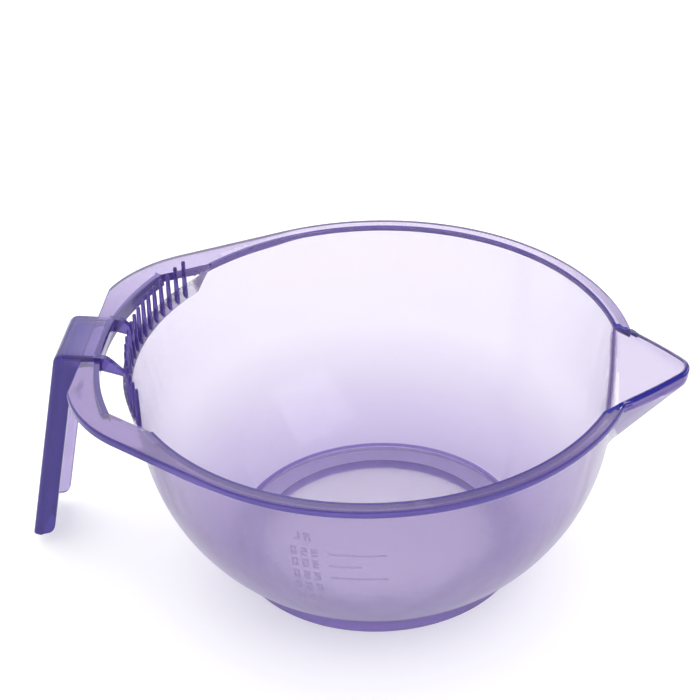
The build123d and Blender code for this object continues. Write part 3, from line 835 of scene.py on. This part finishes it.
def violet_plastic():
    """Tinted polypropylene: a refracting skin round a volume that absorbs and scatters a little."""
    mat = bpy.data.materials.new("violet_plastic")
    mat.use_nodes = True
    tree = mat.node_tree
    tree.nodes.clear()
    out = tree.nodes.new("ShaderNodeOutputMaterial")
    glass = tree.nodes.new("ShaderNodeBsdfPrincipled")
    # this attribute carries the painted shade and light into the base colour and into how much light passes
    # through
    tint_and_shade = tree.nodes.new("ShaderNodeAttribute")
    tint_and_shade.attribute_name = "tint_and_shade"
    tree.links.new(tint_and_shade.outputs["Color"], glass.inputs["Base Color"])
    tree.links.new(tint_and_shade.outputs["Alpha"], glass.inputs["Transmission Weight"])
    frost = tree.nodes.new("ShaderNodeAttribute")
    frost.attribute_name = "frost"
    tree.links.new(frost.outputs["Fac"], glass.inputs["Roughness"])
    glass.inputs["IOR"].default_value = 1.49
    glass.inputs["Specular IOR Level"].default_value = 0.28
    place = tree.nodes.new("ShaderNodeTexCoord")
    stretch = tree.nodes.new("ShaderNodeMapping")
    stretch.inputs["Scale"].default_value = (60, 60, 14)
    tree.links.new(place.outputs["Object"], stretch.inputs["Vector"])
    flow = tree.nodes.new("ShaderNodeTexNoise")
    flow.inputs["Scale"].default_value = 1.0
    flow.inputs["Detail"].default_value = 2.0
    tree.links.new(stretch.outputs[0], flow.inputs["Vector"])
    wave = tree.nodes.new("ShaderNodeBump")
    wave.inputs["Strength"].default_value = 0.35
    wave.inputs["Distance"].default_value = 0.0012
    tree.links.new(flow.outputs[0], wave.inputs["Height"])
    tree.links.new(wave.outputs[0], glass.inputs["Normal"])
    tree.links.new(glass.outputs[0], out.inputs["Surface"])
    absorb = tree.nodes.new("ShaderNodeVolumeAbsorption")
    absorb.inputs["Color"].default_value = (0.25, 0.0, 0.78, 1)
    absorb.inputs["Density"].default_value = 90
    scatter = tree.nodes.new("ShaderNodeVolumeScatter")
    scatter.inputs["Color"].default_value = (0.85, 0.78, 0.97, 1)
    scatter.inputs["Density"].default_value = 80
    both = tree.nodes.new("ShaderNodeAddShader")
    tree.links.new(absorb.outputs[0], both.inputs[0])
    tree.links.new(scatter.outputs[0], both.inputs[1])
    tree.links.new(both.outputs[0], out.inputs["Volume"])
    return mat


plastic = violet_plastic()
paint(shell, zone_tint_and_shade, is_outside)
# the teeth all get one deep tint as painted shade
for tooth in teeth:
    paint(tooth, lambda p, n: TOOTH_SHADE)
for piece in [shell] + teeth:
    piece.data.materials.clear()
    piece.data.materials.append(plastic)
    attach(piece, "root")
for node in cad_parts:
    if node.startswith("scale"):
        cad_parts[node].data.materials.clear()
        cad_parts[node].data.materials.append(plastic)
        paint(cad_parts[node], lambda p, n: MARKS)
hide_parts(*[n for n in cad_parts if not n.startswith(("scale", "comb"))])

# ---------------------------------------------------------------- stage, light and camera

bpy.ops.mesh.primitive_plane_add(size=6, location=(0, 0, -0.05 * MM))
floor = bpy.context.object
floor.name = "floor"
paper = bpy.data.materials.new("paper")
paper.use_nodes = True
paper.node_tree.nodes["Principled BSDF"].inputs["Base Color"].default_value = (0.75, 0.75, 0.75, 1)
paper.node_tree.nodes["Principled BSDF"].inputs["Emission Color"].default_value = (1, 1, 1, 1)
paper.node_tree.nodes["Principled BSDF"].inputs["Emission Strength"].default_value = 0.43
paper.node_tree.nodes["Principled BSDF"].inputs["Roughness"].default_value = 0.6
floor.data.materials.append(paper)

world = bpy.data.worlds.new("world")
bpy.context.scene.world = world
world.use_nodes = True
world.node_tree.nodes["Background"].inputs["Color"].default_value = (1, 1, 1, 1)
# The sky is brightest overhead and behind the bowl, as under a studio's overhead softbox.
sky = world.node_tree.nodes.new("ShaderNodeTexCoord")
height = world.node_tree.nodes.new("ShaderNodeVectorMath")
height.operation = "DOT_PRODUCT"
height.inputs[1].default_value = (-0.15, 0.45, 0.88)
ramp = world.node_tree.nodes.new("ShaderNodeMapRange")
ramp.inputs["From Min"].default_value = -0.3
ramp.inputs["From Max"].default_value = 0.8
ramp.inputs["To Min"].default_value = 0.35
ramp.inputs["To Max"].default_value = 1.2
world.node_tree.links.new(sky.outputs["Generated"], height.inputs[0])
world.node_tree.links.new(height.outputs["Value"], ramp.inputs["Value"])
world.node_tree.links.new(ramp.outputs["Result"], world.node_tree.nodes["Background"].inputs["Strength"])

for name, place, size, watts in (("key", (-0.45, 0.55, 0.75), 0.9, 2.2), ("fill", (0.5, -0.35, 0.6), 0.5, 0.8)):
    lamp = bpy.data.objects.new(name, bpy.data.lights.new(name, "AREA"))
    bpy.context.scene.collection.objects.link(lamp)
    lamp.data.size = size
    lamp.data.energy = watts
    lamp.location = place
    lamp.rotation_euler = (Vector(place) - Vector((0, 0, 0.03))).to_track_quat("Z", "Y").to_euler()

CAMERA_AZ = radians(9.241)
CAMERA_EL = radians(33.634)
CAMERA_ROLL = radians(-2.043)
CAMERA_DIST = 0.7
CAMERA_TARGET = Vector((-6.194, 0.0, 62.959)) * MM
FOCAL_PX = 2658.5

camera = bpy.data.objects.new("camera", bpy.data.cameras.new("camera"))
bpy.context.scene.collection.objects.link(camera)
toward = Vector((sin(CAMERA_AZ) * cos(CAMERA_EL), -cos(CAMERA_AZ) * cos(CAMERA_EL), sin(CAMERA_EL)))
look = toward.to_track_quat("Z", "Y").to_matrix().to_4x4()
camera.matrix_world = Matrix.Translation(CAMERA_TARGET + toward * CAMERA_DIST) @ look @ Matrix.Rotation(
    CAMERA_ROLL, 4, "Z")
camera.data.sensor_width = 36
camera.data.lens = FOCAL_PX / 700 * 36
camera.data.clip_start = 0.01
bpy.context.scene.camera = camera

bpy.context.scene.view_settings.view_transform = "Standard"
bpy.context.scene.cycles.max_bounces = 40
bpy.context.scene.cycles.transmission_bounces = 40
bpy.context.scene.cycles.volume_bounces = 4
